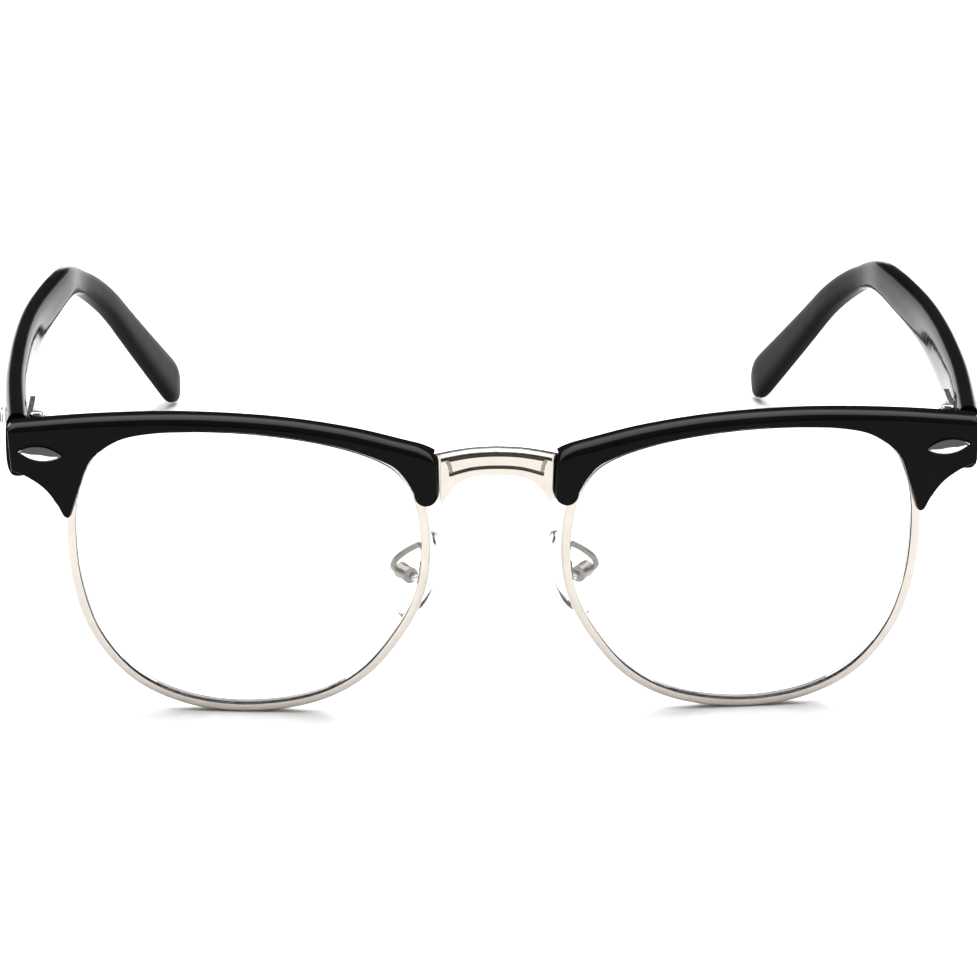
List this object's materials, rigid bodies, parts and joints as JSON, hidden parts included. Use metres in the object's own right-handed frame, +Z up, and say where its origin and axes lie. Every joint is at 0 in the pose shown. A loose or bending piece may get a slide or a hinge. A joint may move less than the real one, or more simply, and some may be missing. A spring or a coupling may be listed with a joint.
{
  "type": "half rim eyeglasses",
  "caption": "Browline eyeglasses: black brows over metal rims with clear lenses, a ribbed metal bridge, clear nose pads on wire arms, and black temples that fold.",
  "frame": {"origin": "centre of the bounding box at its bottom, on the surface that the rims and the temple tips stand on", "axes": "+X to the wearer's left, +Y back from the lenses to the temple tips, +Z up"},
  "size_m": [0.1432, 0.1383, 0.0453],
  "materials": {
    "black_acetate": "polished",
    "silver_metal": "polished nickel",
    "chrome": "polished",
    "screw_steel": "plain",
    "lens": "clear, polished",
    "clear_silicone": "clear, soft satin"
  },
  "bodies": {
    "front": {"bridge": "silver_metal", "rim_left": "silver_metal", "rim_right": "silver_metal", "rim_lock_screw_left": "screw_steel", "rim_lock_screw_right": "screw_steel", "lens_left": "lens", "lens_right": "lens", "brow_left": "black_acetate", "brow_right": "black_acetate", "brow_plaque_left": "chrome", "brow_plaque_right": "chrome", "brow_screw_left": "screw_steel", "brow_screw_right": "screw_steel", "end_piece_left": "silver_metal", "end_piece_right": "silver_metal", "hinge_screw_left": "screw_steel", "hinge_screw_right": "screw_steel", "pad_arm_left": "silver_metal", "pad_arm_right": "silver_metal", "pad_cup_left": "silver_metal", "pad_cup_right": "silver_metal", "pad_screw_left": "screw_steel", "pad_screw_right": "screw_steel"},
    "temple_assembly_left": {"temple_left": "black_acetate", "temple_core_left": "screw_steel", "temple_hinge_left": "silver_metal", "temple_plaque_left": "chrome"},
    "temple_assembly_right": {"temple_right": "black_acetate", "temple_core_right": "screw_steel", "temple_hinge_right": "silver_metal", "temple_plaque_right": "chrome"},
    "pad_left": {"nose_pad_left": "clear_silicone"},
    "pad_right": {"nose_pad_right": "clear_silicone"}
  },
  "joints": [
    {"name": "temple_fold_left", "type": "hinge", "parent": "front", "child": "temple_assembly_left", "pos_m": [0.0652, -0.05705, 0.0396], "axis": [0, 0, 1], "range_deg": [0, 85]},
    {"name": "temple_fold_right", "type": "hinge", "parent": "front", "child": "temple_assembly_right", "pos_m": [-0.0652, -0.05705, 0.0396], "axis": [0, 0, -1], "range_deg": [0, 78]},
    {"name": "pad_rock_left", "type": "hinge", "parent": "front", "child": "pad_left", "pos_m": [0.0124, -0.06045, 0.0196], "axis": [0.5299, 0.848, 0], "range_deg": [-8, 8]},
    {"name": "pad_rock_right", "type": "hinge", "parent": "front", "child": "pad_right", "pos_m": [-0.0124, -0.06045, 0.0196], "axis": [-0.5299, 0.848, 0], "range_deg": [-8, 8]}
  ]
}
